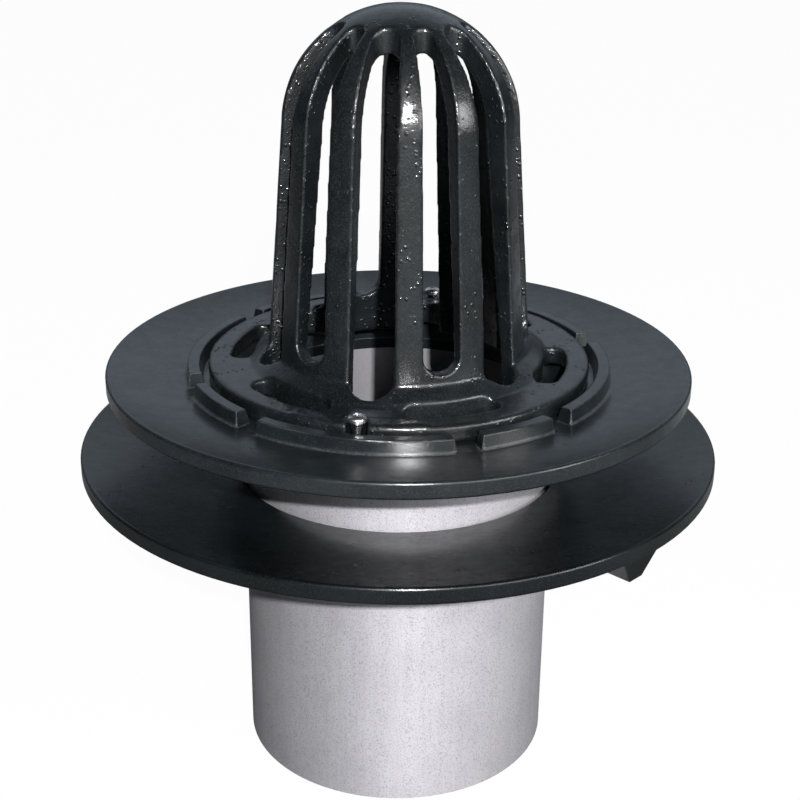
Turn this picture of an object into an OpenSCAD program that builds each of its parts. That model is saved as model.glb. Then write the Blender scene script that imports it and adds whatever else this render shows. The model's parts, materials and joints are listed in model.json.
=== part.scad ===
// Two-part flat roof drain.
// The lower unit is a dished cast flange on an outlet pipe. The upper unit is
// a second cast flange on a short spigot pipe that plugs into the lower socket
// through a rubber seal, and carries a cast dome strainer held by two screws.
// Millimetres, +Z up, origin at the centre of the outlet pipe's cut end,
// front of the drain towards -Y. Azimuths run from the front, positive to +X.

/* [Pipes] */
// Outside diameter of the outlet pipe and of the spigot pipe
pipe_od = 160; // [150:1:166]
// Wall of both pipes
pipe_wall = 3.6; // [2:0.2:5]
// Length of the outlet pipe
outlet_l = 124; // [80:1:240]
// Length of the outlet pipe held in the lower hub
outlet_seat = 8; // [5:1:20]
// Length of the spigot pipe
spigot_l = 58; // [50:1:90]
// Length of the spigot pipe held in the upper hub
spigot_seat = 17; // [10:1:18]
// Radial gap of a pipe in a bore or seal that it fits
fit_gap = 0.05; // [0.02:0.01:0.1]

/* [Castings] */
// Plate thickness of both flanges
plate_t = 7; // [5:0.5:9]
// Thickness of a hub round its pipe
hub_wall = 9; // [6:0.5:12]
// Radius of the coves between a flange and its hub
cove_r = 8; // [5:0.5:9]
// Radius of the rounded rims
edge_r = 1.5; // [0.8:0.1:2]

/* [Lower flange] */
// Width of the lower flange outside its socket
base_w = 78.4; // [60:0.2:100]
// Height of the lower rim above the mouth of its socket
base_dish = 12.9; // [6:0.1:20]
// Depth of the socket above the ledge that stops the spigot
socket_depth = 27.8; // [26:0.1:36]
// Radial gap round the spigot in the socket
socket_gap = 3.7; // [2.5:0.1:5]
// Height of the spigot above the ledge at rest
rest_gap = 3; // [1:0.5:4]
// Thickness of the ledge between the two pipes
ledge_t = 4; // [3:0.5:8]

/* [Seal] */
// Height of the seal ring
seal_h = 7.5; // [5:0.5:9]
// Depth of the seal groove behind the socket wall
groove_depth = 4.8; // [3:0.2:6]
// Thickness of the hub behind the seal groove
groove_wall = 6; // [4:0.5:9]
// Lip of the socket above the groove
groove_lip = 4; // [3:0.5:6]

/* [Fixing lug] */
// Azimuth of the lug under the flange
lug_az = 46; // [0:1:90]
// Width of the lug at the flange
lug_w = 32; // [12:1:36]
// Width of the lug's foot
lug_foot_w = 8; // [3:0.5:16]
// Distance of the lug from the flange's edge
lug_inset = 6; // [2:0.5:14]
// Length of the lug at the flange
lug_l = 40; // [20:1:50]
// Rake of the lug's outer end
lug_rake = 3; // [1:0.5:12]
// Length of the lug's foot
lug_foot_l = 17; // [2:1:24]
// Drop of the lug below the flange
lug_drop = 17; // [8:1:24]

/* [Upper flange] */
// Width of the upper flange outside its collar
top_w = 40.9; // [25:0.1:60]
// Height of the upper rim above the strainer's seat
top_dish = 4.8; // [3:0.1:10]
// Height of the throat from the spigot's end to the seat
throat_h = 17; // [14:1:24]
// Straight height at the foot of the throat
throat_lip = 6; // [3:0.5:8]
// Widening of the throat from the spigot's bore to the seat
throat_flare = 11.6; // [8:0.2:14]
// Width of the seat under the strainer's ring
seat_w = 8.2; // [8:0.2:14]
// Thickness of the flange under the seat
seat_t = 12.5; // [11:0.5:16]
// Widening of the hub from its foot to the flange
hub_draft = 1.5; // [0.5:0.1:4]

/* [Collar] */
// Height of the collar wall above the seat
collar_h = 7.4; // [5:0.2:9]
// Thickness of the collar wall at its top
collar_t = 5.7; // [4:0.1:8]
// Draft of each side of the collar wall
collar_draft = 1.8; // [0.5:0.1:2.5]
// Radial gap between the collar and the strainer's ring
collar_gap = 4.4; // [3:0.1:8]
// Width of the drain gaps in the collar
collar_slot_w = 12.5; // [6:0.5:20]

/* [Strainer ring] */
// Thickness of the ring
ring_t = 9; // [6:0.5:11]
// Width of the inlet slots
slot_w = 11.8; // [8:0.2:18]
// Gap between the inlet slots and the edge of the ring
slot_edge = 11.3; // [9:0.1:14]
// Angle between the centres of an inlet slot's round ends
slot_a = 26.5; // [12:0.5:32]
// Height of the raised screw lands
land_h = 0.8; // [0.4:0.1:2]
// Angle that a screw land covers
land_a = 40; // [30:1:60]

/* [Dome] */
// Height of the dome above the ring
dome_h = 173.4; // [120:0.1:200]
// Gap between the ribs and the inlet slots
rib_gap = 7.5; // [4:0.1:10]
// Spread of the foot cone beyond the ribs
foot_w = 10.4; // [6:0.1:12]
// Height of the foot cone above the ring
foot_h = 7.4; // [4:0.1:9]
// Draft of the dome's sides
dome_draft = 4.4; // [2:0.1:5]
// Wall of the dome at the crown
crown_t = 10.3; // [5:0.1:12]
// Depth of the ribs at the foot of the dome
rib_t = 6.8; // [6:0.1:11]
// Distance of the gaps' upper ends from the dome's axis
gap_tip = 28; // [24:0.5:32]
// Diameter of the deep gaps' upper ends
deep_d = 13.4; // [10:0.2:16]
// Reach of the deep gaps' round lower ends past the ribs
deep_end = 6; // [1:0.1:7]
// Flare of each side of the deep gaps
deep_flare = 7.9; // [6:0.1:10]
// Diameter of the shallow gaps' upper ends
shallow_d = 10.1; // [7:0.1:11]
// Flare of each side of the shallow gaps
shallow_flare = 7.4; // [4:0.1:8]
// Height of the shallow gaps' round lower ends above the ring
shallow_h = 12; // [10:0.5:30]

/* [Screws] */
// Azimuth of the front screw
screw_az = -11.5; // [-20:0.5:-5]
// Diameter of the screw's shank
screw_d = 6; // [5:1:6]
// Length of the shank below the head
screw_l = 18; // [16:0.5:18.5]
// Diameter of the screw's head
head_d = 10.4; // [9:0.2:13]
// Height of the screw's head
head_h = 4; // [3:0.2:5]
// Distance of a screw's axis from the edge of the ring
screw_inset = 3; // [2.5:0.1:4]
// Width of the notch for a screw
notch_w = 9.6; // [8:0.2:10]

/* [Hidden] */
$fn = 120;
// Overlap that lets a cut run clear of a face
eps = 1;
// Height of the faint line where a round end meets straight sides
blend = 0.05;
// Azimuths of the drain gaps in the collar
collar_slots = [-128, -71.2, -41, 17.4, 45.5, 106.5, 168.5];
// Pairs of gaps in the dome, and inlet slots in the ring
gap_count = 6;
gap_pitch = 360 / gap_count;
// Screws that hold the strainer
screw_count = 2;

pipe_r = pipe_od / 2;
bore_r = pipe_r - pipe_wall;
fit_r = pipe_r + fit_gap;
hub_r = fit_r + hub_wall;

// Lower unit
hub_z = outlet_l - outlet_seat;
ledge_z = outlet_l + ledge_t;
mouth_z = ledge_z + socket_depth;
socket_r = pipe_r + socket_gap;
groove_r = socket_r + groove_depth;
groove_z = mouth_z - groove_lip - seal_h;
base_hub_r = groove_r + groove_wall;
base_r = socket_r + base_w;
base_z = mouth_z + base_dish;
base_slope = base_dish / base_w;
function base_under(r) = mouth_z + (r - socket_r) * base_slope - plate_t;

// Upper unit
spigot_z = ledge_z + rest_gap;
stop_z = spigot_z + spigot_l;
seat_z = stop_z + throat_h;
top_hub_z = stop_z - spigot_seat;
throat_r = bore_r + throat_flare;
ring_r = throat_r + seat_w;
collar_in = ring_r + collar_gap;
collar_out = collar_in + collar_t;
top_r = collar_out + top_w;
top_z = seat_z + top_dish;
seat_under = seat_z - seat_t;

// Strainer
ring_z = seat_z + ring_t;
dome_top = ring_z + dome_h;
slot_r = ring_r - slot_edge - slot_w / 2;
rib_r = slot_r - slot_w / 2 - rib_gap;
foot_r = rib_r + foot_w;
rib_z = ring_z + foot_h;
function dome_r(z) = rib_r - (z - rib_z) * tan(dome_draft);
// crown: the sphere that reaches the top and is tangent to the drafted side
crown_r = (rib_r * cos(dome_draft) - (dome_top - rib_z) * sin(dome_draft))
    / (1 - sin(dome_draft));
crown_z = dome_top - crown_r;
side_z = crown_z + crown_r * sin(dome_draft);
inner_r = dome_r(ring_z) - rib_t;
shallow_az = screw_az + gap_pitch / 2;
screw_r = ring_r - screw_inset;
land_z = ring_z + land_h;

// Turns the X axis to an azimuth measured from the front
module at_az(az) {
    rotate([0, 0, az - 90]) children();
}

// Repeats a feature round the axis
module around(count, az) {
    for (i = [0:count - 1]) at_az(az + i * 360 / count) children();
}

// Quarter disc that fills or cuts a corner of a section
module quarter(x, z, r, turn) {
    translate([x, z]) rotate(turn) intersection() {
        circle(r);
        square(r + eps);
    }
}

// Tube from one level to another
module tube(r_in, r_out, z0, z1) {
    translate([0, 0, z0]) difference() {
        cylinder(r = r_out, h = z1 - z0);
        translate([0, 0, -eps]) cylinder(r = r_in, h = z1 - z0 + 2 * eps);
    }
}

// Plain pipe from the cut end into the lower hub
module outlet_pipe() {
    color("#a9aaad") tube(bore_r, pipe_r, 0, outlet_l);
}

// Short pipe that carries the upper flange and slides in the seal
module spigot_pipe() {
    color("#a9aaad") tube(bore_r, pipe_r, spigot_z, stop_z);
}

// Section of a flange: drafted hub, cove, dished plate and rounded rim
module flange_section(foot_z, hub_top_r, top_r0, top_z0, rim_r, rim_z, step) {
    cove_x = hub_top_r + cove_r;
    slope = (rim_z - top_z0) / (rim_r - top_r0);
    under = top_z0 - plate_t + (cove_x + step - top_r0) * slope;
    cove_z = under - step;
    in_r = rim_r - edge_r;
    difference() {
        polygon([
            [bore_r, foot_z],
            [hub_r, foot_z],
            [hub_top_r, cove_z - cove_r],
            [cove_x, cove_z - cove_r],
            [cove_x, cove_z],
            [cove_x + step, under],
            [in_r, rim_z - plate_t],
            [in_r, rim_z - plate_t + edge_r],
            [rim_r, rim_z - plate_t + edge_r],
            [rim_r, rim_z - edge_r],
            [in_r, rim_z - edge_r],
            [in_r, rim_z],
            [top_r0, top_z0],
            [bore_r, top_z0]
        ]);
        translate([cove_x, cove_z - cove_r]) circle(cove_r);
    }
    quarter(in_r, rim_z - edge_r, edge_r, 0);
    quarter(in_r, rim_z - plate_t + edge_r, edge_r, 270);
}

// Fixing lug below the rim, with a heel that slopes up to the plate
module lug() {
    out_r = base_r - lug_inset;
    in_r = out_r - lug_l;
    toe_r = out_r - lug_rake;
    plate_z = base_z - plate_t;
    foot_z = plate_z - lug_drop;
    sink = plate_t / 2;
    at_az(lug_az) intersection() {
        rotate([90, 0, 0]) linear_extrude(2 * lug_w, center = true) polygon([
            [in_r, base_under(in_r) + sink],
            [in_r, base_under(in_r)],
            [toe_r - lug_foot_l, foot_z],
            [toe_r, foot_z],
            [out_r, base_under(out_r)],
            [out_r, base_under(out_r) + sink]
        ]);
        translate([in_r - eps, 0]) rotate([90, 0, 90]) linear_extrude(lug_l + 2 * eps) polygon([
            [-lug_foot_w / 2, foot_z - eps],
            [lug_foot_w / 2, foot_z - eps],
            [lug_w / 2, plate_z],
            [lug_w / 2, base_z],
            [-lug_w / 2, base_z],
            [-lug_w / 2, plate_z]
        ]);
    }
}

// Dished lower flange with its socket, ledge and lug in one casting
module lower_flange() {
    color("#1d1f22") difference() {
        union() {
            rotate_extrude() flange_section(
                hub_z, base_hub_r, socket_r, mouth_z, base_r, base_z, 0
            );
            lug();
        }
        translate([0, 0, hub_z - eps]) cylinder(r = fit_r, h = outlet_seat + eps);
        translate([0, 0, hub_z]) cylinder(r = bore_r, h = mouth_z - hub_z + eps);
        translate([0, 0, ledge_z]) cylinder(r = socket_r, h = socket_depth + eps);
        translate([0, 0, groove_z]) cylinder(r = groove_r, h = seal_h);
    }
}

// Rubber ring in the groove, with a rounded lip round the spigot
module socket_seal() {
    relief = seal_h / 5;
    color("#202020") rotate_extrude() difference() {
        translate([fit_r, groove_z]) square([groove_r - fit_r, seal_h]);
        for (z = [groove_z, groove_z + seal_h]) translate([fit_r, z]) circle(relief);
    }
}

// Section of the collar wall, drafted, with rounded top edges
module collar_section() {
    r = edge_r / 2;
    top = seat_z + collar_h;
    polygon([
        [collar_in - collar_draft, seat_z - eps],
        [collar_in, top - r],
        [collar_in + r, top - r],
        [collar_in + r, top],
        [collar_out - r, top],
        [collar_out - r, top - r],
        [collar_out, top - r],
        [collar_out + collar_draft, seat_z - eps]
    ]);
    quarter(collar_in + r, top - r, r, 90);
    quarter(collar_out - r, top - r, r, 0);
}

// Drafted gap that parts the collar wall
module collar_cut() {
    half = collar_slot_w / 2;
    draft = collar_draft / 2;
    translate([collar_in - collar_draft - eps, 0, seat_z])
        rotate([90, 0, 90])
        linear_extrude(collar_t + 2 * collar_draft + 2 * eps)
        polygon([
            [-half + draft, -2 * eps],
            [half - draft, -2 * eps],
            [half + draft, collar_h + eps],
            [-half - draft, collar_h + eps]
        ]);
}

// Ring of wall segments round the strainer
module collar() {
    difference() {
        rotate_extrude() collar_section();
        for (az = collar_slots) at_az(az) collar_cut();
    }
}

// Upper flange with collar, seat, throat and hub in one casting
module upper_flange() {
    throat_top = throat_h - throat_lip + eps;
    widening = throat_flare * throat_top / (throat_h - throat_lip);
    hole_h = screw_l - ring_t - land_h + eps;
    color("#1d1f22") difference() {
        union() {
            rotate_extrude() flange_section(
                top_hub_z, hub_r + hub_draft, collar_out, seat_z,
                top_r, top_z, seat_t - plate_t
            );
            collar();
        }
        translate([0, 0, top_hub_z - eps]) cylinder(r = fit_r, h = spigot_seat + eps);
        translate([0, 0, top_hub_z]) cylinder(r = bore_r, h = seat_z - top_hub_z + eps);
        translate([0, 0, stop_z + throat_lip])
            cylinder(r1 = bore_r, r2 = bore_r + widening, h = throat_top);
        around(screw_count, screw_az) translate([screw_r, 0, seat_z - hole_h])
            cylinder(d = screw_d + 2 * fit_gap, h = hole_h + eps);
    }
}

// Sector of the plane either side of the X axis
module sector(r, half_a) {
    polygon([[0, 0], [r, -r * tan(half_a)], [r, r * tan(half_a)]]);
}

// Curved slot with round ends, centred on the X axis
module curved_slot(r, w, half_a) {
    intersection() {
        difference() {
            circle(r + w / 2 - blend);
            circle(r - w / 2 + blend);
        }
        sector(2 * r, half_a);
    }
    for (s = [-1, 1]) rotate(s * half_a) translate([r, 0]) circle(w / 2);
}

// Half width of a flared slot at a distance from its axis
function flare_w(tip, d, flare, r) =
    (d / 2 - blend + (r - tip - d / 2) * sin(flare)) / cos(flare);

// Straight sides of a flared slot between two distances
module flare_sides(tip, d, flare, r0, r1) {
    w0 = flare_w(tip, d, flare, r0);
    w1 = flare_w(tip, d, flare, r1);
    polygon([[r0, w0], [r0, -w0], [r1, -w1], [r1, w1]]);
}

// Radius of the round end that closes a flared slot at a distance
function flare_end(tip, d, flare, r_tip) =
    (d / 2 + (r_tip - tip - d / 2) * sin(flare)) / (1 + sin(flare));

// Section of the ring and of the dome's outside
module strainer_section() {
    in_r = ring_r - edge_r;
    polygon([
        [0, seat_z],
        [in_r, seat_z],
        [in_r, seat_z + edge_r],
        [ring_r, seat_z + edge_r],
        [ring_r, ring_z - edge_r],
        [in_r, ring_z - edge_r],
        [in_r, ring_z],
        [foot_r, ring_z],
        [rib_r, rib_z],
        [dome_r(side_z), side_z],
        [0, side_z]
    ]);
    quarter(in_r, seat_z + edge_r, edge_r, 270);
    quarter(in_r, ring_z - edge_r, edge_r, 0);
    intersection() {
        translate([0, crown_z - blend]) circle(crown_r + blend);
        translate([0, seat_z + eps]) square([crown_r + eps, dome_top - seat_z]);
    }
}

// Section of the dome's inside, open to the underside of the ring
module hollow_section() {
    r = crown_r - crown_t;
    polygon([
        [0, seat_z - eps],
        [inner_r, seat_z - eps],
        [inner_r, ring_z],
        [r, crown_z],
        [0, crown_z]
    ]);
    quarter(0, crown_z, r, 0);
}

// Gap that runs from the crown down through the inner edge of the ring
module deep_gap() {
    end_r = rib_r + deep_end;
    round_r = flare_end(gap_tip, deep_d, deep_flare, end_r);
    end_x = end_r - round_r;
    translate([0, 0, seat_z - eps]) linear_extrude(dome_top - seat_z + 2 * eps) {
        translate([gap_tip + deep_d / 2, 0]) circle(d = deep_d);
        flare_sides(gap_tip, deep_d, deep_flare, gap_tip + deep_d / 2, end_x);
        translate([end_x, 0]) circle(round_r);
    }
    translate([0, 0, rib_z - eps]) linear_extrude(dome_h)
        flare_sides(gap_tip, deep_d, deep_flare, end_x, rib_r + eps);
}

// Gap that ends in a round bottom above the ring
module shallow_gap() {
    tip_x = gap_tip + shallow_d / 2;
    out_r = rib_r + eps;
    turn_r = flare_w(gap_tip, shallow_d, shallow_flare, rib_r);
    turn_z = ring_z + shallow_h + turn_r;
    intersection() {
        translate([0, 0, ring_z]) linear_extrude(dome_h + eps) {
            translate([tip_x, 0]) circle(d = shallow_d);
            flare_sides(gap_tip, shallow_d, shallow_flare, tip_x, out_r);
        }
        translate([0, 0, turn_z]) rotate([90, 0, 90]) linear_extrude(out_r + eps) {
            circle(turn_r);
            translate([-turn_r - eps, 0]) square([2 * turn_r + 2 * eps, dome_h]);
        }
    }
}

// Raised land on the ring that carries a screw
module screw_land() {
    translate([0, 0, ring_z - eps]) linear_extrude(land_h + eps) intersection() {
        difference() {
            circle(ring_r - edge_r);
            circle(slot_r + slot_w / 2 + edge_r);
        }
        sector(2 * ring_r, land_a / 2);
    }
}

// Open notch in the ring's edge that passes a screw
module screw_notch() {
    side = notch_w / 2 - blend;
    translate([screw_r, 0, seat_z - eps]) linear_extrude(ring_t + land_h + 2 * eps) {
        circle(d = notch_w);
        translate([0, -side]) square([screw_inset + eps, 2 * side]);
    }
}

// Dome of ribs on a slotted ring, in one casting
module dome_strainer() {
    color("#17191b") difference() {
        union() {
            rotate_extrude() strainer_section();
            around(screw_count, screw_az) screw_land();
        }
        rotate_extrude() hollow_section();
        around(gap_count, screw_az) deep_gap();
        around(gap_count, shallow_az) shallow_gap();
        translate([0, 0, seat_z - eps]) linear_extrude(ring_t + foot_h + 2 * eps)
            around(gap_count, shallow_az) curved_slot(slot_r, slot_w, slot_a / 2);
        around(screw_count, screw_az) screw_notch();
    }
}

// Pan head screw with a cross recess, its head resting at zero height
module screw() {
    round_r = (head_d * head_d / 4 + head_h * head_h) / (2 * head_h);
    recess_w = head_d / 8;
    recess_l = head_d * 0.55;
    recess_h = head_h * 0.45;
    difference() {
        union() {
            translate([0, 0, -screw_l]) cylinder(d = screw_d, h = screw_l + eps);
            intersection() {
                cylinder(d = head_d, h = head_h + eps);
                translate([0, 0, head_h - round_r]) sphere(round_r);
            }
        }
        for (a = [0, 90]) rotate(a) translate([0, 0, head_h + (eps - recess_h) / 2])
            cube([recess_l, recess_w, recess_h + eps], center = true);
    }
}

// The screws that clamp the strainer to its seat
module strainer_screws() {
    color("#d5d7da") around(screw_count, screw_az)
        translate([screw_r, 0, land_z]) screw();
}

outlet_pipe();
lower_flange();
socket_seal();
spigot_pipe();
upper_flange();
dome_strainer();
strainer_screws();
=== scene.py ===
"""Looks of a flat roof drain: black cast flanges, a dome strainer and grey pipes.

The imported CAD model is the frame. The dome strainer and its screws are rebuilt
here as finer pieces with rounded cast edges, and the two flanges are finished
copies of their CAD nodes. The pipes and the seal keep their CAD shape and get
procedural materials. Everything is in metres.
"""

import json
import logging
import math
from dataclasses import dataclass, replace
from enum import Enum
from typing import Any, Iterable

import bmesh
import bpy
import numpy as np
from mathutils import Matrix, Quaternion, Vector

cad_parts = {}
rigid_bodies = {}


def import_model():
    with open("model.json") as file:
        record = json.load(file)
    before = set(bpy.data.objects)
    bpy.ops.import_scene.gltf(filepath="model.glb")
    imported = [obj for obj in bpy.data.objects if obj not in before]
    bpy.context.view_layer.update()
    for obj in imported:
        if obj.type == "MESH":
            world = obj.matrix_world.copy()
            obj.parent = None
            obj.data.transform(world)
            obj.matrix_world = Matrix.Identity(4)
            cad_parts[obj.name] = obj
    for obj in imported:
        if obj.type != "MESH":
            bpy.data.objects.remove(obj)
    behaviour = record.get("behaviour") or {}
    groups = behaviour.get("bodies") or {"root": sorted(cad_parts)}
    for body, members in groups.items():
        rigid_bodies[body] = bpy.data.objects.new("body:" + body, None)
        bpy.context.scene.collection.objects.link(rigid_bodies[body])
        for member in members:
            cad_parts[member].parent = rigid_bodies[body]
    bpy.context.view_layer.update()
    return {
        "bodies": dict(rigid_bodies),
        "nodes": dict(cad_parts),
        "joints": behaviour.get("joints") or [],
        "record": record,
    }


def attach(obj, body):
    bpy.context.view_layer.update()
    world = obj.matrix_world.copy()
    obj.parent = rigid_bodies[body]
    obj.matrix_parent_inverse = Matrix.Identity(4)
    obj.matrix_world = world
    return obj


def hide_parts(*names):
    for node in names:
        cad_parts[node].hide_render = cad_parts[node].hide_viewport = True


LOG = logging.getLogger("roof_drain")
MM = 0.001
Point = tuple[float, float, float]
# The lower and upper end of a range, and the results at them.
Ramp = tuple[float, float, float, float]


class Body(str, Enum):
    """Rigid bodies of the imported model."""

    LOWER = "lower_unit"
    UPPER = "upper_unit"


class Node(str, Enum):
    """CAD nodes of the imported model."""

    OUTLET = "outlet_pipe"
    LOWER_FLANGE = "lower_flange"
    SEAL = "socket_seal"
    SPIGOT = "spigot_pipe"
    UPPER_FLANGE = "upper_flange"
    STRAINER = "dome_strainer"
    SCREWS = "strainer_screws"


class Slot(str, Enum):
    """Material slots of the record."""

    PIPE = "pipe"
    CASTING = "casting"
    STRAINER = "strainer"
    SEAL = "seal"
    SCREWS = "screws"


# --------------------------------------------------------------------------
# Node trees


@dataclass(frozen=True)
class Pattern:
    """A noise: its cells per metre, its octaves and the strength of the finer ones."""

    scale: float
    detail: float = 3.0
    rough: float = 0.5


class Tree:
    """Small helper that adds and joins nodes of one node tree."""

    def __init__(self, tree: bpy.types.NodeTree) -> None:
        """Starts with an empty tree."""
        self.tree = tree
        tree.nodes.clear()

    def add(self, kind: str, **inputs: Any) -> bpy.types.Node:
        """Adds a node and sets or links its inputs.

        Args:
            kind: the node's type name.
            **inputs: an input name with spaces as underscores, or a property
                name with a leading ``p_``; a socket value is linked.

        Returns:
            The new node.
        """
        node = self.tree.nodes.new(kind)
        # Properties come first: a node's mode decides which sockets it offers.
        for key, value in inputs.items():
            if key.startswith("p_"):
                setattr(node, key[2:], value)
        for key, value in inputs.items():
            if key.startswith("p_"):
                continue
            index = int(key[1:]) if key[0] == "i" and key[1:].isdigit() else None
            sock = node.inputs[index if index is not None else key.replace("_", " ")]
            if isinstance(value, bpy.types.NodeSocket):
                self.tree.links.new(value, sock)
            else:
                sock.default_value = value
        return node

    def math(self, op: str, a: Any, b: Any = 0.0, c: Any = 0.0, clamp: bool = False) -> Any:
        """Adds a math node.

        Args:
            op: the operation's name.
            a: the first value or socket.
            b: the second value or socket.
            c: the third value or socket, where the operation has one.
            clamp: whether the result is held between 0 and 1.

        Returns:
            The result socket.
        """
        return self.add(
            "ShaderNodeMath", p_operation=op, p_use_clamp=clamp, i0=a, i1=b, i2=c
        ).outputs[0]

    def times(self, a: Any, b: Any) -> Any:
        """Gives the product of two values or sockets."""
        return self.math("MULTIPLY", a, b)

    def dot(self, a: Any, b: Any) -> Any:
        """Gives the dot product of two vector sockets."""
        node = self.add("ShaderNodeVectorMath", p_operation="DOT_PRODUCT", i0=a, i1=b)
        return node.outputs["Value"]

    def length(self, vector: Any) -> Any:
        """Gives the length of a vector socket."""
        node = self.add("ShaderNodeVectorMath", p_operation="LENGTH", i0=vector)
        return node.outputs["Value"]

    def parts(self, vector: Any) -> Any:
        """Gives the outputs X, Y and Z of a vector socket."""
        return self.add("ShaderNodeSeparateXYZ", Vector=vector).outputs

    def remap(self, value: Any, low: float, high: float, to_low: float, to_high: float) -> Any:
        """Maps a range smoothly onto another one.

        Args:
            value: the socket to map.
            low: the lower end of the range.
            high: the upper end of the range.
            to_low: the result at the lower end.
            to_high: the result at the upper end.

        Returns:
            The result socket.
        """
        return self.add(
            "ShaderNodeMapRange",
            p_interpolation_type="SMOOTHSTEP",
            Value=value,
            From_Min=low,
            From_Max=high,
            To_Min=to_low,
            To_Max=to_high,
        ).outputs["Result"]

    def mix(self, factor: Any, a: Any, b: Any) -> Any:
        """Mixes two colours."""
        node = self.add("ShaderNodeMix", p_data_type="RGBA", i0=factor, i6=a, i7=b)
        return node.outputs[2]

    def noise(self, vector: Any, pattern: Pattern) -> Any:
        """Adds a noise texture.

        Args:
            vector: the coordinate socket.
            pattern: how the noise is laid.

        Returns:
            The value socket.
        """
        return self.add(
            "ShaderNodeTexNoise",
            Vector=vector,
            Scale=pattern.scale,
            Detail=pattern.detail,
            Roughness=pattern.rough,
        ).outputs[0]

    def stretch(self, vector: Any, factors: tuple[float, float, float]) -> Any:
        """Stretches a coordinate, so that a texture gets a direction."""
        return self.add("ShaderNodeMapping", Vector=vector, Scale=factors).outputs[0]

    def flat(self, vector: Any) -> Any:
        """Gives a coordinate with its height dropped."""
        return self.stretch(vector, (1.0, 1.0, 0.0))

    def bump(self, height: Any, strength: float, distance: float, normal: Any = None) -> Any:
        """Adds a bump node.

        Args:
            height: the height socket.
            strength: how far the bump shows.
            distance: the relief's height in metres.
            normal: the normal to build on.

        Returns:
            The normal socket.
        """
        node = self.add("ShaderNodeBump", Strength=strength, Distance=distance, Height=height)
        if normal is not None:
            self.tree.links.new(normal, node.inputs["Normal"])
        return node.outputs[0]


def rgba(r: float, g: float, b: float) -> tuple[float, float, float, float]:
    """Gives an opaque colour."""
    return (r, g, b, 1.0)


# --------------------------------------------------------------------------
# Materials


@dataclass(frozen=True)
class CoatLook:
    """How a coated casting looks.

    ``dark`` and ``pale`` are the coat's colours, ``haze`` and ``veil`` the roughness
    and specular level below the clear layer, and ``gloss`` that layer's roughness.
    ``peel``, ``grain`` and ``pits`` weigh the relief and ``grit`` is the grain's
    height. ``edge`` weighs the lighter edges, part wear and part painted highlight,
    ``speck`` the dust, and ``bevel`` is the radius of a rounded edge.
    """

    dark: Point
    pale: Point
    gloss: float
    peel: float
    grain: float
    pits: float
    edge: float
    bevel: float
    haze: float
    veil: float
    grit: float
    speck: float


class Surface:
    """A procedural material: subclasses fill its node tree."""

    name = "surface"

    def __init__(self) -> None:
        """Makes the material and fills its tree."""
        self.material = bpy.data.materials.new(self.name)
        self.material.use_nodes = True
        t = Tree(self.material.node_tree)
        coord = t.add("ShaderNodeTexCoord").outputs["Object"]
        shader = self.build(t, coord)
        t.add("ShaderNodeOutputMaterial", Surface=shader.outputs[0])

    def build(self, t: Tree, coord: Any) -> bpy.types.Node:
        """Builds the shader."""
        raise NotImplementedError

    def put_on(self, obj: bpy.types.Object) -> None:
        """Makes this the object's only material."""
        obj.data.materials.clear()
        obj.data.materials.append(self.material)


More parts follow.
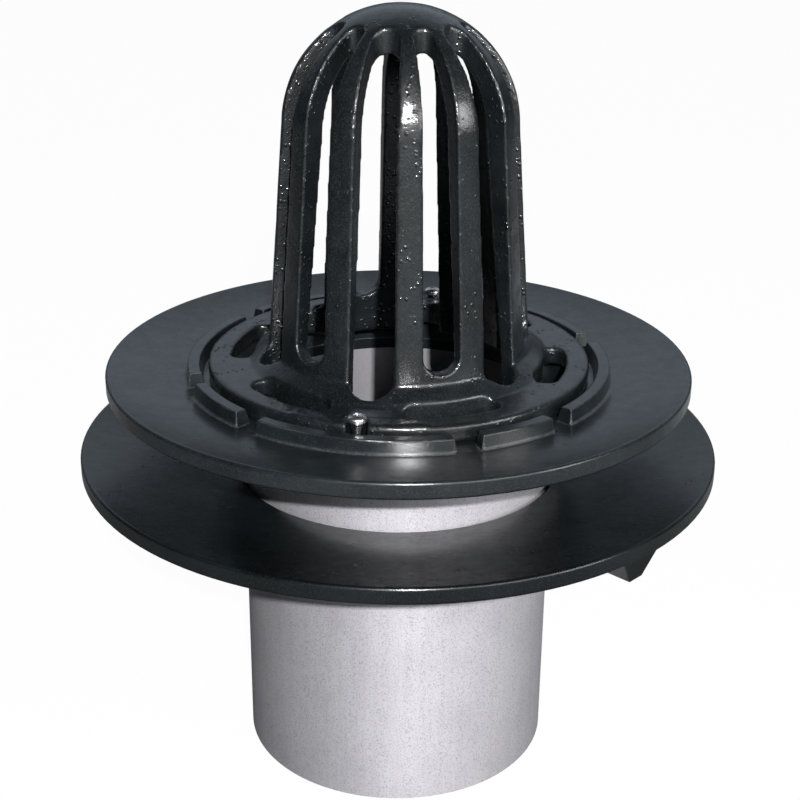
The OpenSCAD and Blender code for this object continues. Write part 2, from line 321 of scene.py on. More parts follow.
class CoatedCasting(Surface):
    """Gloss black coat on a rough iron casting."""

    FOOT_IN = 106.6 * MM
    FOOT_OUT = 112.0 * MM
    FOOT_ROUND = 3.4 * MM
    BEVEL_RAYS = 6
    PEEL = Pattern(190.0, 2.0, 0.55)
    GRAIN = Pattern(950.0, 3.0, 0.62)
    SAG = Pattern(45.0, 1.0, 0.4)
    SPOTS = Pattern(80.0, 2.0, 0.5)
    TONES = Pattern(24.0, 4.0, 0.6)
    DUST = Pattern(1500.0, 2.0, 0.6)
    CLOUDS = Pattern(130.0, 4.0, 0.65)
    NUBS_PER_M = 330.0
    NUB_ROUND: Ramp = (0.06, 0.36, 1.0, 0.0)
    NUB_H = 0.30 * MM
    SAG_H = 0.30 * MM
    SAG_SHARE = 0.4
    PEEL_H = 0.16 * MM
    WORN_AND_HIGHLIGHT_TURN: Ramp = (0.80, 0.985, 1.0, 0.0)
    WORN_AND_HIGHLIGHT_GRAIN: Ramp = (0.42, 0.6, 0.2, 1.0)
    HAZE_SPAN = 0.08
    COAT = 0.8
    IOR = 1.5
    DUST_GREY = rgba(0.040, 0.045, 0.048)
    WORN_AND_HIGHLIGHT_GREY = rgba(0.09, 0.10, 0.11)

    def __init__(self, name: str, look: CoatLook) -> None:
        """Makes the material.

        Args:
            name: the material's name.
            look: its colours and relief.
        """
        self.name = name
        self.look = look
        super().__init__()

    def build(self, t: Tree, coord: Any) -> bpy.types.Node:
        """Builds the coat with peel, grain, pits and thin lighter edges, part wear and part
        painted highlight.

        Args:
            t: the tree to fill.
            coord: the object coordinate socket.

        Returns:
            The shader node.
        """
        look = self.look
        walls = self._walls(t)
        peel = t.noise(coord, self.PEEL)
        grain = t.noise(coord, self.GRAIN)
        sag = t.noise(coord, self.SAG)
        cells = t.add(
            "ShaderNodeTexVoronoi",
            p_feature="F1",
            Vector=coord,
            Scale=self.NUBS_PER_M,
            Randomness=1.0,
        ).outputs["Distance"]
        spots = t.noise(coord, self.SPOTS)
        # Nubs stand in patches, which a rougher casting and its walls have more of.
        often = t.math("SUBTRACT", 0.60 - 0.08 * look.pits, t.times(walls, 0.16))
        patch = t.math("MULTIPLY", t.math("SUBTRACT", spots, often), 12.0, clamp=True)
        nub = t.times(t.remap(cells, *self.NUB_ROUND), patch)
        spread = self.FOOT_ROUND - look.bevel
        round_off = t.math("MULTIPLY_ADD", self._collar_foot(t, coord), spread, look.bevel)
        edge_normal = t.add(
            "ShaderNodeBevel", p_samples=self.BEVEL_RAYS, Radius=round_off
        ).outputs[0]
        peeled = t.math("ADD", look.peel, t.times(walls, 0.5))
        grained = t.math("ADD", look.grain, t.times(walls, 0.9))
        normal = t.bump(sag, self.SAG_SHARE, self.SAG_H, edge_normal)
        normal = t.bump(peel, peeled, self.PEEL_H, normal)
        normal = t.bump(nub, look.pits, self.NUB_H, normal)
        normal = t.bump(grain, grained, look.grit, normal)
        turn = t.dot(edge_normal, t.add("ShaderNodeNewGeometry").outputs["True Normal"])
        # Rounded edges are painted lighter: part wear, part painted highlight.
        wear_and_highlight = t.times(t.remap(turn, *self.WORN_AND_HIGHLIGHT_TURN), t.remap(grain, *self.WORN_AND_HIGHLIGHT_GRAIN))
        tone = t.remap(t.noise(coord, self.TONES), 0.35, 0.68, 0.0, 1.0)
        colour = t.mix(tone, rgba(*look.dark), rgba(*look.pale))
        dust = t.remap(t.noise(coord, self.DUST), 0.50, 0.70, 0.0, look.speck)
        dust = t.times(dust, t.math("SUBTRACT", 1.0, walls))
        colour = t.mix(dust, colour, self.DUST_GREY)
        colour = t.mix(t.times(wear_and_highlight, look.edge), colour, self.WORN_AND_HIGHLIGHT_GREY)
        low, high = look.haze - self.HAZE_SPAN, look.haze + self.HAZE_SPAN
        rough = t.remap(t.noise(coord, self.CLOUDS), 0.3, 0.7, low, high)
        return t.add(
            "ShaderNodeBsdfPrincipled",
            Base_Color=colour,
            Roughness=rough,
            IOR=self.IOR,
            Specular_IOR_Level=look.veil,
            Normal=normal,
            Coat_Weight=self.COAT,
            Coat_Roughness=look.gloss,
            Coat_IOR=self.IOR,
            Coat_Normal=normal,
        )

    @classmethod
    def _collar_foot(cls, t: Tree, coord: Any) -> Any:
        """Finds the foot of the collar, which runs out in a wider cast fillet.

        Args:
            t: the tree to fill.
            coord: the object coordinate socket.

        Returns:
            A socket near one round the collar's foot.
        """
        across = t.length(t.flat(coord))
        inner = t.remap(across, cls.FOOT_IN, cls.FOOT_IN + 0.8 * MM, 0.0, 1.0)
        outer = t.remap(across, cls.FOOT_OUT, cls.FOOT_OUT + 2.0 * MM, 1.0, 0.0)
        return t.times(inner, outer)

    @staticmethod
    def _walls(t: Tree) -> Any:
        """Finds the walls of gaps and slots, which keep the mould's rough skin.

        Args:
            t: the tree to fill.

        Returns:
            A socket near one on upright faces that don't face away from the axis.
        """
        source = t.add("ShaderNodeTexCoord")
        out = source.outputs["Normal"]
        place = t.flat(source.outputs["Object"])
        ray = t.add("ShaderNodeVectorMath", p_operation="NORMALIZE", i0=place).outputs[0]
        slope = t.math("ABSOLUTE", t.parts(out)["Z"])
        side = t.remap(t.dot(out, ray), 0.25, 0.75, 1.0, 0.0)
        return t.times(side, t.remap(slope, 0.3, 0.75, 1.0, 0.0))


class PipeCoat(Surface):
    """Satin light grey coat on a drawn pipe, with speckle and faint streaks."""

    name = "pipe_grey"
    BORE = 77.0 * MM
    GREY = rgba(0.425, 0.415, 0.44)
    PALE = rgba(0.475, 0.465, 0.49)
    STREAK = rgba(0.54, 0.53, 0.555)
    SPECK = rgba(0.23, 0.225, 0.245)
    PAINTED_BORE_SHADE = rgba(0.24, 0.235, 0.25)
    SPECKLE = Pattern(1300.0, 2.0, 0.7)
    CLOUDS = Pattern(30.0, 4.0, 0.55)
    STREAKS = Pattern(330.0, 3.0, 0.6)
    HAZE = Pattern(420.0, 3.0, 0.6)
    DRAWN: Point = (1.0, 1.0, 0.05)
    SPECK_H = 0.04 * MM
    STREAK_H = 0.05 * MM
    METAL = 0.6
    BRUSHED = 0.5

    def build(self, t: Tree, coord: Any) -> bpy.types.Node:
        """Builds the coat.

        Args:
            t: the tree to fill.
            coord: the object coordinate socket.

        Returns:
            The shader node.
        """
        speck = t.noise(coord, self.SPECKLE)
        cloud = t.noise(coord, self.CLOUDS)
        streak = t.noise(t.stretch(coord, self.DRAWN), self.STREAKS)
        colour = t.mix(t.remap(cloud, 0.3, 0.7, 0.0, 1.0), self.GREY, self.PALE)
        colour = t.mix(t.remap(streak, 0.35, 0.72, 0.0, 0.3), colour, self.STREAK)
        colour = t.mix(t.remap(speck, 0.48, 0.70, 0.0, 0.75), colour, self.SPECK)
        # The bore is painted darker than the outside: painted shade inside the pipe.
        across = t.length(t.flat(coord))
        bore_shade = t.remap(across, self.BORE - 0.2 * MM, self.BORE + 0.8 * MM, 1.0, 0.0)
        colour = t.mix(bore_shade, colour, self.PAINTED_BORE_SHADE)
        rough = t.remap(t.noise(coord, self.HAZE), 0.3, 0.7, 0.69, 0.77)
        normal = t.bump(speck, 0.3, self.SPECK_H)
        normal = t.bump(streak, 0.10, self.STREAK_H, normal)
        return t.add(
            "ShaderNodeBsdfPrincipled",
            Base_Color=colour,
            Metallic=self.METAL,
            Roughness=rough,
            Anisotropic=self.BRUSHED,
            Tangent=t.add("ShaderNodeCombineXYZ", Z=1.0).outputs[0],
            Normal=normal,
        )


class SealRubber(Surface):
    """Matt black rubber with a faint bloom."""

    name = "seal_rubber"
    BLACK = rgba(0.012, 0.012, 0.012)
    BLOOM = rgba(0.03, 0.03, 0.031)
    CLOUDS = Pattern(90.0, 4.0, 0.6)
    GRAIN = Pattern(1400.0, 2.0, 0.5)
    GRAIN_H = 0.05 * MM

    def build(self, t: Tree, coord: Any) -> bpy.types.Node:
        """Builds the rubber.

        Args:
            t: the tree to fill.
            coord: the object coordinate socket.

        Returns:
            The shader node.
        """
        bloom = t.noise(coord, self.CLOUDS)
        colour = t.mix(t.remap(bloom, 0.4, 0.7, 0.0, 1.0), self.BLACK, self.BLOOM)
        return t.add(
            "ShaderNodeBsdfPrincipled",
            Base_Color=colour,
            Roughness=t.remap(bloom, 0.3, 0.7, 0.62, 0.8),
            Normal=t.bump(t.noise(coord, self.GRAIN), 0.3, self.GRAIN_H),
        )


class ZincPlate(Surface):
    """Bright zinc plate with fine scratches and dull patches."""

    name = "screw_zinc"
    BRIGHT = rgba(0.78, 0.79, 0.80)
    DULL = rgba(0.55, 0.56, 0.58)
    PAINTED_SHANK_SHADE = rgba(0.06, 0.062, 0.066)
    PATCHES = Pattern(500.0, 4.0, 0.6)
    SCRATCHES = Pattern(2600.0, 2.0, 0.6)
    DRAWN: Point = (1.0, 0.12, 1.0)
    SCRATCH_H = 0.03 * MM

    def __init__(self, seat: float) -> None:
        """Makes the material."""
        self.seat = seat
        super().__init__()

    def build(self, t: Tree, coord: Any) -> bpy.types.Node:
        """Builds the plating.

        Args:
            t: the tree to fill.
            coord: the object coordinate socket.

        Returns:
            The shader node.
        """
        dull = t.noise(coord, self.PATCHES)
        scratch = t.noise(t.stretch(coord, self.DRAWN), self.SCRATCHES)
        colour = t.mix(t.remap(dull, 0.35, 0.7, 0.0, 1.0), self.BRIGHT, self.DULL)
        # Below the head the shank is painted nearly black: painted shade under the head.
        height = t.parts(coord)["Z"]
        shank = t.remap(height, self.seat - 0.6 * MM, self.seat - 0.1 * MM, 1.0, 0.0)
        colour = t.mix(t.times(shank, 0.9), colour, self.PAINTED_SHANK_SHADE)
        return t.add(
            "ShaderNodeBsdfPrincipled",
            Base_Color=colour,
            Metallic=1.0,
            Roughness=t.remap(dull, 0.3, 0.7, 0.22, 0.42),
            Normal=t.bump(scratch, 0.25, self.SCRATCH_H),
        )


class StudioFloor(Surface):
    """Pale floor that looks white to the camera and keeps a faint shadow."""

    name = "studio_floor"
    PAINTED_FRONT_SHADE: Ramp = (0.1, 0.7, 0.22, 0.80)
    PAINTED_FOOT_SHADE: Ramp = (0.34, 0.46, 0.45, 1.0)
    CLOUDS = Pattern(3.0)
    CLOUD_SPAN: Ramp = (0.3, 0.7, 0.96, 1.0)
    WHITE = rgba(0.96, 1.0, 1.04)
    GREY = rgba(0.85, 0.85, 0.85)
    OWN_LIGHT = 0.975

    def build(self, t: Tree, coord: Any) -> bpy.types.Node:
        """Builds the floor.

        Args:
            t: the tree to fill.
            coord: the object coordinate socket.

        Returns:
            The shader node.
        """
        # Colour for other rays is darker in front and around the object's foot: painted shade
        # and a painted shadow.
        tone = t.remap(t.parts(coord)["Y"], *self.PAINTED_FRONT_SHADE)
        tone = t.times(tone, t.remap(t.length(coord), *self.PAINTED_FOOT_SHADE))
        tone = t.times(tone, t.remap(t.noise(coord, self.CLOUDS), *self.CLOUD_SPAN))
        painted_shade_tint = t.mix(tone, rgba(0.0, 0.0, 0.0), self.WHITE)
        matt = t.add("ShaderNodeBsdfDiffuse", Color=painted_shade_tint).outputs[0]
        seen = t.add("ShaderNodeBsdfDiffuse", Color=self.GREY).outputs[0]
        glow = t.add("ShaderNodeEmission", Color=rgba(1.0, 1.0, 1.0), Strength=1.0).outputs[0]
        plain = t.add("ShaderNodeMixShader", i0=self.OWN_LIGHT, i1=seen, i2=glow).outputs[0]
        camera = t.add("ShaderNodeLightPath").outputs["Is Camera Ray"]
        return t.add("ShaderNodeMixShader", i0=camera, i1=matt, i2=plain)


# --------------------------------------------------------------------------
# Meshes


class MeshTools:
    """Mesh steps that the pieces share."""

    JOIN = 1e-6
    POLE = 1e-7

    @staticmethod
    def link(name: str, mesh: bpy.types.Mesh) -> bpy.types.Object:
        """Makes an object at the origin and links it.

        Args:
            name: the object's name.
            mesh: its mesh.

        Returns:
            The new object.
        """
        obj = bpy.data.objects.new(name, mesh)
        bpy.context.scene.collection.objects.link(obj)
        return obj

    @staticmethod
    def baked(obj: bpy.types.Object) -> bpy.types.Mesh:
        """Evaluates an object's modifiers into a new mesh.

        Args:
            obj: the object with its modifiers.

        Returns:
            The evaluated mesh.
        """
        bpy.context.view_layer.update()
        graph = bpy.context.evaluated_depsgraph_get()
        return bpy.data.meshes.new_from_object(obj.evaluated_get(graph))

    @classmethod
    def settle(cls, obj: bpy.types.Object) -> None:
        """Replaces an object's mesh by the evaluated one and drops its modifiers.

        Args:
            obj: the object to settle.
        """
        mesh = cls.baked(obj)
        obj.modifiers.clear()
        obj.data = mesh

    @classmethod
    def weld(cls, mesh: bpy.types.Mesh) -> None:
        """Joins the split corners of an imported mesh.

        Args:
            mesh: the mesh to weld.
        """
        bm = bmesh.new()
        bm.from_mesh(mesh)
        bmesh.ops.remove_doubles(bm, verts=bm.verts, dist=cls.JOIN)
        bm.to_mesh(mesh)
        bm.free()

    @staticmethod
    def read(mesh: bpy.types.Mesh, what: str = "co") -> np.ndarray:
        """Reads the places or the normals of a mesh's vertices.

        Args:
            mesh: the mesh.
            what: ``co`` for places, ``normal`` for normals.

        Returns:
            One row for each vertex.
        """
        values = np.zeros(len(mesh.vertices) * 3)
        mesh.vertices.foreach_get(what, values)
        return values.reshape(-1, 3)

    @staticmethod
    def move(mesh: bpy.types.Mesh, places: np.ndarray) -> None:
        """Moves a mesh's vertices."""
        mesh.vertices.foreach_set("co", places.ravel())
        mesh.update()

    @staticmethod
    def smooth(mesh: bpy.types.Mesh) -> None:
        """Shades a mesh smooth."""
        mesh.polygons.foreach_set("use_smooth", [True] * len(mesh.polygons))

    @classmethod
    def turned(cls, profile: Iterable[tuple[float, float]], steps: int) -> bmesh.types.BMesh:
        """Turns a profile round the Z axis into a closed skin.

        Args:
            profile: (radius, height) points from the lower axis point to the upper.
            steps: the points round the axis.

        Returns:
            The new bmesh.
        """
        bm = bmesh.new()
        rings: list[list[bmesh.types.BMVert]] = []
        for radius, height in profile:
            if radius < cls.POLE:
                rings.append([bm.verts.new((0.0, 0.0, height))])
                continue
            ring = []
            for i in range(steps):
                turn = 2 * math.pi * i / steps
                x, y = radius * math.cos(turn), radius * math.sin(turn)
                ring.append(bm.verts.new((x, y, height)))
            rings.append(ring)
        for low, high in zip(rings, rings[1:]):
            for i in range(steps):
                j = (i + 1) % steps
                ways = ((low, i), (low, j), (high, j), (high, i))
                corners = [ring[k % len(ring)] for ring, k in ways]
                unique = list(dict.fromkeys(corners))
                if len(unique) > 2:
                    bm.faces.new(unique)
        bmesh.ops.recalc_face_normals(bm, faces=bm.faces)
        return bm


class Piece:
    """A visual piece that rides on a body and stands for a CAD node."""

    def __init__(self, obj: bpy.types.Object, body: Body, slot: Slot, node: Node) -> None:
        """Attaches the piece to its body, hides the CAD node and logs its faces.

        Args:
            obj: the finished object.
            body: the body that it moves with.
            slot: not used.
            node: the CAD node that it replaces.
        """
        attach(obj, body.value)
        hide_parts(node.value)
        LOG.info("%s: %d faces", obj.name, len(obj.data.polygons))


@dataclass
class StrainerBuilder:
    """Rebuilds the strainer's casting with soft edges and cast relief.

    The fields are the CAD node's object, the casting's material, the size of the
    skin's cells, the rounds of smoothing, the most triangles, and the height, the
    count, the shortest and longest length in millimetres and the seed of the
    relief's waves.
    """

    source: bpy.types.Object
    surface: Surface
    voxel: float = 0.8 * MM
    rounds: int = 10
    triangles: int = 185000
    relief: float = 0.035 * MM
    waves: int = 26
    lengths: tuple[float, float] = (7.0, 22.0)
    seed: int = 7

    def build(self) -> bpy.types.Object:
        """Makes the piece.

        Returns:
            The finished object at the origin.
        """
        obj = MeshTools.link("strainer_casting", self.source.data.copy())
        MeshTools.weld(obj.data)
        remesh = obj.modifiers.new("skin", "REMESH")
        remesh.mode = "VOXEL"
        remesh.voxel_size = self.voxel
        remesh.adaptivity = 0.0
        even = obj.modifiers.new("even", "SMOOTH")
        even.factor = 0.5
        even.iterations = self.rounds
        MeshTools.settle(obj)
        count = sum(len(p.vertices) - 2 for p in obj.data.polygons)
        if count > self.triangles:
            thin = obj.modifiers.new("thin", "DECIMATE")
            thin.ratio = self.triangles / count
            MeshTools.settle(obj)
        self._relief(obj.data)
        MeshTools.smooth(obj.data)
        self.surface.put_on(obj)
        return obj

    def _relief(self, mesh: bpy.types.Mesh) -> None:
        """Moves the skin by a slow cast unevenness.

        Args:
            mesh: the mesh to move.
        """
        at = MeshTools.read(mesh)
        out = MeshTools.read(mesh, "normal")
        rng = np.random.default_rng(self.seed)
        wave = np.zeros(len(at))
        for _ in range(self.waves):
            way = rng.normal(size=3)
            way /= np.linalg.norm(way)
            length = rng.uniform(*self.lengths) * MM
            wave += np.sin(at @ way * (2 * math.pi / length) + rng.uniform(0, 2 * math.pi))
        wave *= self.relief / np.sqrt(self.waves / 2)
        wave = np.clip(wave, -2 * self.relief, 2 * self.relief)
        MeshTools.move(mesh, at + out * wave[:, None])


@dataclass(frozen=True)
class FlangeTrim:
    """How a flange is finished: what its hub loses, its rim gains and its collar leans."""

    hub_cut: float
    rim_lift: float
    lean: float


@dataclass
class FlangeBuilder:
    """Finishes a cast flange: its hub's foot is faced off and its rim built up.

    The fields are the CAD node's object, the trim, the casting's material, the
    rim's width, the hub's reach as a share of the flange's radius, the slack that
    its foot is found with, the height of the collar's wall, and how far that wall
    reaches in and out from its crest.
    """

    source: bpy.types.Object
    trim: FlangeTrim
    surface: Surface
    edge: float = 3.0 * MM
    hub_share: float = 0.75
    slack: float = 0.05 * MM
    collar_h: float = 7.5 * MM
    wall_in: float = 1.2 * MM
    wall_out: float = 2.6 * MM

    def build(self) -> bpy.types.Object:
        """Makes the piece.

        Returns:
            The finished object at the origin.
        """
        obj = MeshTools.link(self.source.name + "_casting", self.source.data.copy())
        at = MeshTools.read(obj.data)
        across = np.hypot(at[:, 0], at[:, 1])
        rim = across > across.max() - self.edge
        shoulder = rim & (at[:, 2] > (at[rim, 2].min() + at[rim, 2].max()) / 2)
        hub = across < self.hub_share * across.max()
        foot = hub & (at[:, 2] < at[hub, 2].min() + self.slack)
        at[shoulder, 2] += self.trim.rim_lift
        at[foot, 2] += self.trim.hub_cut
        self._lean(at, across)
        MeshTools.move(obj.data, at)
        self.surface.put_on(obj)
        return obj

    def _lean(self, at: np.ndarray, across: np.ndarray) -> None:
        """Changes the draft of the collar's outer wall about its middle height.

        Args:
            at: the vertices, which are changed.
            across: their distances from the axis.
        """
        top = at[:, 2].max()
        crest = across[at[:, 2] > top - 2 * self.slack].max()
        wall = (across > crest - self.wall_in) & (across < crest + self.wall_out)
        wall &= at[:, 2] > top - self.collar_h
        up = (at[wall, 2] - top) / self.collar_h + 1.0
        grow = 1.0 + self.trim.lean * (1.0 - 2.0 * up) / across[wall]
        at[wall, :2] *= grow[:, None]


@dataclass
class ScrewBuilder:
    """Pan head screws with a cross recess, one mesh set on each land.

    The fields are where each head rests, the head's radius and height, the shank's
    length, the plating, the thread's core, crest and pitch, the share of the head
    below its dome, the steps round the axis and up the dome, the width and depth of
    the recess, the angle of a sharp edge, and the turn of each screw.
    """

    seats: list[Vector]
    head_r: float
    head_h: float
    shank_l: float
    surface: Surface
    core: float = 2.55 * MM
    crest: float = 2.98 * MM
    pitch: float = 1.0 * MM
    brim: float = 0.42
    steps: int = 48
    dome_steps: int = 12
    recess_w: float = 1.35 * MM
    recess_h: float = 3.4 * MM
    sharp: float = math.radians(35)
    turns: tuple[float, ...] = (0.35, 1.1)

    def _profile(self) -> list[tuple[float, float]]:
        """Gives the turned outline from the tip to the top of the head.

        Returns:
            (radius, height) points.
        """
        core, crest, pitch = self.core, self.crest, self.pitch
        points = [(0.0, -self.shank_l), (core - 0.4 * MM, -self.shank_l)]
        height = -self.shank_l + 0.5 * MM
        while height < -1.5 * MM:
            points += [(core, height), (crest, height + 0.45 * pitch)]
            points.append((core, height + 0.9 * pitch))
            height += pitch
        points += [(crest, -0.6 * MM), (crest, 0.0)]
        points += [(self.head_r * 0.93, 0.0), (self.head_r, 0.25 * MM)]
        low = self.brim * self.head_h
        points.append((self.head_r, low))
        for i in range(1, self.dome_steps + 1):
            a = i / self.dome_steps * math.pi / 2
            points.append((self.head_r * math.cos(a), low + (self.head_h - low) * math.sin(a)))
        points[-1] = (0.0, self.head_h)
        return points

    def _one(self) -> bpy.types.Object:
        """Makes one screw at the origin with its recess cut.

        Returns:
            The screw.
        """
        mesh = bpy.data.meshes.new("screw_turned")
        bm = MeshTools.turned(self._profile(), self.steps)
        bm.to_mesh(mesh)
        bm.free()
        screw = MeshTools.link("screw_turned", mesh)
        cutters = []
        for turn in (0.0, math.pi / 2):
            cut = bpy.data.meshes.new("recess_cut")
            bm = bmesh.new()
            bmesh.ops.create_cube(bm, size=1.0)
            for v in bm.verts:
                taper = 1.0 if v.co.z > 0 else 0.62
                v.co = Vector((
                    v.co.x * self.head_r * 1.05 * taper,
                    v.co.y * self.recess_w * taper,
                    v.co.z * self.recess_h + self.head_h,
                ))
            bmesh.ops.rotate(bm, verts=bm.verts, matrix=Matrix.Rotation(turn, 3, "Z"))
            bm.to_mesh(cut)
            bm.free()
            cutter = MeshTools.link("recess_cut", cut)
            cutters.append(cutter)
            part = screw.modifiers.new("recess", "BOOLEAN")
            part.operation = "DIFFERENCE"
            part.solver = "EXACT"
            part.object = cutter
        MeshTools.settle(screw)
        for cutter in cutters:
            bpy.data.objects.remove(cutter)
        MeshTools.smooth(screw.data)
        screw.data.set_sharp_from_angle(angle=self.sharp)
        return screw

    def build(self) -> bpy.types.Object:
        """Sets a screw on each seat with one geometry node tree.

        Returns:
            The finished object at the origin.
        """
        one = self._one()
        mesh = bpy.data.meshes.new("screw_set")
        mesh.from_pydata([tuple(s) for s in self.seats], [], [])
        turn = mesh.attributes.new("turn", "FLOAT", "POINT")
        for i, value in enumerate(self.turns):
            turn.data[i].value = value
        holder = MeshTools.link("strainer_screw_set", mesh)
        group = bpy.data.node_groups.new("ScrewSet", "GeometryNodeTree")
        points = "NodeSocketGeometry"
        group.interface.new_socket("Geometry", in_out="OUTPUT", socket_type=points)
        made = {
            name: group.interface.new_socket(name, in_out="INPUT", socket_type=kind)
            for name, kind in (
                ("Geometry", points),
                ("Screw", "NodeSocketObject"),
                ("Size", "NodeSocketFloat"),
                ("Plating", "NodeSocketMaterial"),
            )
        }
        t = Tree(group)
        start = t.add("NodeGroupInput")
        info = t.add("GeometryNodeObjectInfo", Object=start.outputs["Screw"])
        named = t.add("GeometryNodeInputNamedAttribute", p_data_type="FLOAT", Name="turn")
        spin = t.add("ShaderNodeCombineXYZ", Z=named.outputs[0])
        placed = t.add(
            "GeometryNodeInstanceOnPoints",
            Points=start.outputs["Geometry"],
            Instance=info.outputs["Geometry"],
            Rotation=spin.outputs[0],
            Scale=start.outputs["Size"],
        )
        real = t.add("GeometryNodeRealizeInstances", Geometry=placed.outputs[0])
        plating = start.outputs["Plating"]
        clad = t.add("GeometryNodeSetMaterial", Geometry=real.outputs[0], Material=plating)
        t.add("NodeGroupOutput", Geometry=clad.outputs[0])
        modifier = holder.modifiers.new("screws", "NODES")
        modifier.node_group = group
        modifier[made["Screw"].identifier] = one
        modifier[made["Size"].identifier] = 1.0
        modifier[made["Plating"].identifier] = self.surface.material
        MeshTools.settle(holder)
        bpy.data.objects.remove(one)
        self.surface.put_on(holder)
        return holder


# --------------------------------------------------------------------------
# Stage


@dataclass(frozen=True)
class Lamp:
    """A soft rectangular lamp."""

    name: str
    place: Point
    aim: Point
    size: tuple[float, float]
    watts: float


@dataclass(frozen=True)
class View:
    """The camera's place, lens and roll."""

    place: Point
    aim: Point
    lens_mm: float
    roll: float
    sensor_mm: float = 36.0
    clip_start: float = 0.01


class Studio:
    """Floor, lamps, world and camera."""

    LAMPS = (
        Lamp("key", (0.120, -1.376, 0.904), (0.0, 0.0, 0.20), (0.03, 0.03), 42.0),
        Lamp("fill", (0.80, -1.14, 0.72), (0.0, 0.0, 0.15), (0.5, 0.5), 5.0),
        Lamp("right", (1.22, -0.70, 0.71), (0.0, 0.0, 0.15), (0.5, 0.5), 9.0),
    )
    VIEW = View((0.0, -0.71229, 0.48527), (0.000833, 0.0, 0.18873), 67.357, 0.009124)
    FLOOR_HALF = 6.0
    # What gloss shows: a card that is bright behind, plus a low glow in front.
    BACK: Ramp = (0.2, 0.85, 0.05, 1.0)
    LOW: Ramp = (0.10, 0.34, 0.12, 1.0)
    HIGH: Ramp = (0.70, 0.98, 1.0, 0.04)
    FRONT: Ramp = (-0.90, -0.70, 0.7, 0.0)
    BAND: Ramp = (0.45, 0.62, 1.0, 0.0)
    CARD = 0.50
    CARD_TINT = rgba(0.87, 1.0, 1.15)
    AMBIENT = 0.015
    AMBIENT_TINT = rgba(0.92, 0.97, 1.05)

    def build(self) -> None:
        """Builds the whole stage."""
        self._floor()
        self._world()
        for lamp in self.LAMPS:
            self._lamp(lamp)
        self._camera()
        bpy.context.scene.view_settings.view_transform = "Standard"

    def _floor(self) -> None:
        """Lays the floor."""
        bm = bmesh.new()
        bmesh.ops.create_grid(bm, x_segments=2, y_segments=2, size=self.FLOOR_HALF)
        mesh = bpy.data.meshes.new("studio_floor")
        bm.to_mesh(mesh)
        bm.free()
        floor = MeshTools.link("studio_floor", mesh)
        StudioFloor().put_on(floor)

    def _world(self) -> None:
        """Makes a white background with a soft ambient light."""
        world = bpy.data.worlds.new("studio")
        bpy.context.scene.world = world
        world.use_nodes = True
        t = Tree(world.node_tree)
        path = t.add("ShaderNodeLightPath").outputs
        way = t.parts(t.add("ShaderNodeTexCoord").outputs["Generated"])
        back = t.times(t.remap(way["Y"], *self.BACK), t.remap(way["Z"], *self.LOW))
        back = t.times(back, t.remap(way["Z"], *self.HIGH))
        front = t.times(t.remap(way["Y"], *self.FRONT), t.remap(way["Z"], *self.BAND))
        panel = t.math("ADD", back, front)
        glossy = path["Is Glossy Ray"]
        seen = t.math("MAXIMUM", path["Is Camera Ray"], path["Is Transmission Ray"])
        white = self._glow(t, rgba(1.0, 1.0, 1.0), 1.0)
        card = self._glow(t, self.CARD_TINT, t.times(panel, self.CARD))
        soft = self._glow(t, self.AMBIENT_TINT, self.AMBIENT)
        dim = t.add("ShaderNodeMixShader", i0=glossy, i1=soft, i2=card).outputs[0]
        both = t.add("ShaderNodeMixShader", i0=seen, i1=dim, i2=white).outputs[0]
        t.add("ShaderNodeOutputWorld", Surface=both)

    @staticmethod
    def _glow(t: Tree, colour: tuple[float, ...], strength: Any) -> Any:
        """Adds a background light."""
        return t.add("ShaderNodeBackground", Color=colour, Strength=strength).outputs[0]

    @staticmethod
    def _aimed(
        data: bpy.types.ID, place: Point, aim: Point, roll: float = 0.0
    ) -> bpy.types.Object:
        """Places a lamp or camera, turned towards a point with +Y up.

        Args:
            data: the lamp's or camera's data.
            place: where it is.
            aim: the point that it looks at.
            roll: a turn about the view axis.

        Returns:
            The new object.
        """
        obj = bpy.data.objects.new(data.name, data)
        obj.location = place
        turn = (Vector(aim) - Vector(place)).to_track_quat("-Z", "Y")
        obj.rotation_mode = "QUATERNION"
        obj.rotation_quaternion = turn @ Quaternion((0.0, 0.0, 1.0), roll)
        bpy.context.scene.collection.objects.link(obj)
        return obj

    def _lamp(self, lamp: Lamp) -> None:
        """Adds a lamp.

        Args:
            lamp: its place, size and strength.
        """
        data = bpy.data.lights.new(lamp.name, "AREA")
        data.shape = "RECTANGLE"
        data.size, data.size_y = lamp.size
        data.energy = lamp.watts
        self._aimed(data, lamp.place, lamp.aim)

    def _camera(self) -> None:
        """Adds the camera."""
        view = self.VIEW
        data = bpy.data.cameras.new("camera")
        data.lens = view.lens_mm
        data.sensor_width = view.sensor_mm
        data.clip_start = view.clip_start
        bpy.context.scene.camera = self._aimed(data, view.place, view.aim, view.roll)


# --------------------------------------------------------------------------
# The drain


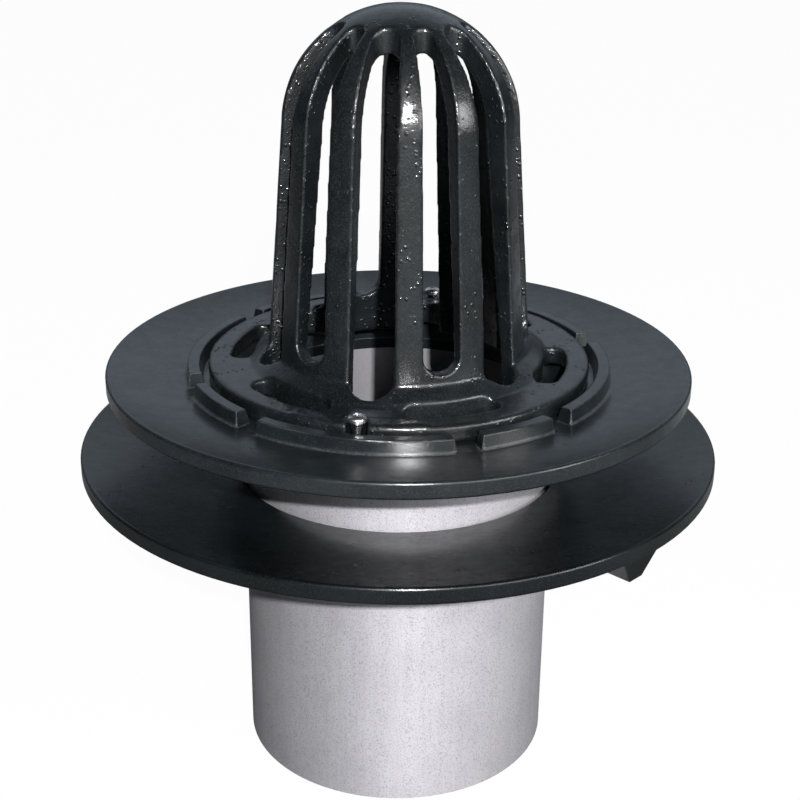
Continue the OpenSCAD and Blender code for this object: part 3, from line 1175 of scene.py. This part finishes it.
class Drain:
    """The whole object: carried-over CAD nodes and rebuilt pieces."""

    STRAINER_LOOK = CoatLook(
        dark=(0.0015, 0.0025, 0.003),
        pale=(0.005, 0.007, 0.0085),
        gloss=0.13,
        peel=0.80,
        grain=0.60,
        pits=1.0,
        edge=0.55,
        bevel=1.2 * MM,
        haze=0.48,
        veil=0.22,
        grit=0.15 * MM,
        speck=0.40,
    )
    FLANGE_LOOK = CoatLook(
        dark=(0.0035, 0.005, 0.006),
        pale=(0.0085, 0.0115, 0.013),
        gloss=0.215,
        peel=0.30,
        grain=0.50,
        pits=0.30,
        edge=0.60,
        bevel=1.0 * MM,
        haze=0.40,
        veil=0.15,
        grit=0.06 * MM,
        speck=0.45,
    )
    # Same coat as the upper flange, but darker and with fewer light dust specks: painted shade
    # on the lower flange.
    SHADED_LOWER_LOOK = replace(
        FLANGE_LOOK,
        dark=(0.0015, 0.0025, 0.003),
        pale=(0.004, 0.006, 0.007),
        veil=0.08,
        speck=0.15,
    )
    LOWER_CUT = FlangeTrim(5.0 * MM, 1.5 * MM, 0.0)
    UPPER_CUT = FlangeTrim(4.5 * MM, 1.5 * MM, -0.45 * MM)
    HEAD_H = 3.5 * MM
    HEAD_BAND = 3.0 * MM

    def __init__(self, frame: dict[str, Any]) -> None:
        """Keeps the loaded frame."""
        self.nodes: dict[str, bpy.types.Object] = frame["nodes"]

    def build(self) -> None:
        """Dresses the CAD nodes and builds the finer pieces."""
        flange = CoatedCasting("casting_black", self.FLANGE_LOOK)
        # The lower flange gets the darker copy of the coat, which is painted shade.
        lower = CoatedCasting("casting_black_lower", self.SHADED_LOWER_LOOK)
        pipe = PipeCoat()
        dress: dict[Node, Surface] = {
            Node.OUTLET: pipe,
            Node.SPIGOT: pipe,
            Node.SEAL: SealRubber(),
        }
        for node, surface in dress.items():
            self._dress(self.nodes[node.value], surface)
        self._flange(Node.LOWER_FLANGE, Body.LOWER, self.LOWER_CUT, lower)
        self._flange(Node.UPPER_FLANGE, Body.UPPER, self.UPPER_CUT, flange)
        self._strainer()
        self._screws()

    def _flange(self, node: Node, body: Body, trim: FlangeTrim, surface: Surface) -> None:
        """Builds a flange's casting."""
        obj = FlangeBuilder(self.nodes[node.value], trim, surface).build()
        Piece(obj, body, Slot.CASTING, node)

    @staticmethod
    def _dress(obj: bpy.types.Object, surface: Surface) -> None:
        """Gives a CAD node its material.

        Args:
            obj: the node's object.
            surface: its material.
        """
        for slot in obj.material_slots:
            slot.material = surface.material
        LOG.info("%s: CAD shape, %s", obj.name, surface.name)

    def _strainer(self) -> None:
        """Builds the strainer's casting."""
        surface = CoatedCasting("strainer_black", self.STRAINER_LOOK)
        obj = StrainerBuilder(self.nodes[Node.STRAINER.value], surface).build()
        Piece(obj, Body.UPPER, Slot.STRAINER, Node.STRAINER)

    def _screws(self) -> None:
        """Builds the screws from the places and sizes of their CAD node."""
        source = self.nodes[Node.SCREWS.value]
        at = MeshTools.read(source.data)
        top = at[:, 2].max()
        head = at[at[:, 2] > top - self.HEAD_BAND]
        seats: list[Vector] = []
        radius = 0.0
        for side in (head[:, 1] < 0, head[:, 1] > 0):
            part = head[side]
            low, high = part.min(axis=0), part.max(axis=0)
            radius = max(radius, (high[0] - low[0]) / 2)
            seats.append(Vector(((low[0] + high[0]) / 2, (low[1] + high[1]) / 2, 0.0)))
        rest = float(top) - self.HEAD_H
        for seat in seats:
            seat.z = rest
        shank = rest - float(at[:, 2].min())
        obj = ScrewBuilder(seats, radius, self.HEAD_H, shank, ZincPlate(rest)).build()
        Piece(obj, Body.UPPER, Slot.SCREWS, Node.SCREWS)


def main() -> None:
    """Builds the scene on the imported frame."""
    logging.basicConfig(level=logging.INFO)
    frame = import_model()
    Drain(frame).build()
    Studio().build()


if __name__ == "__main__":
    main()
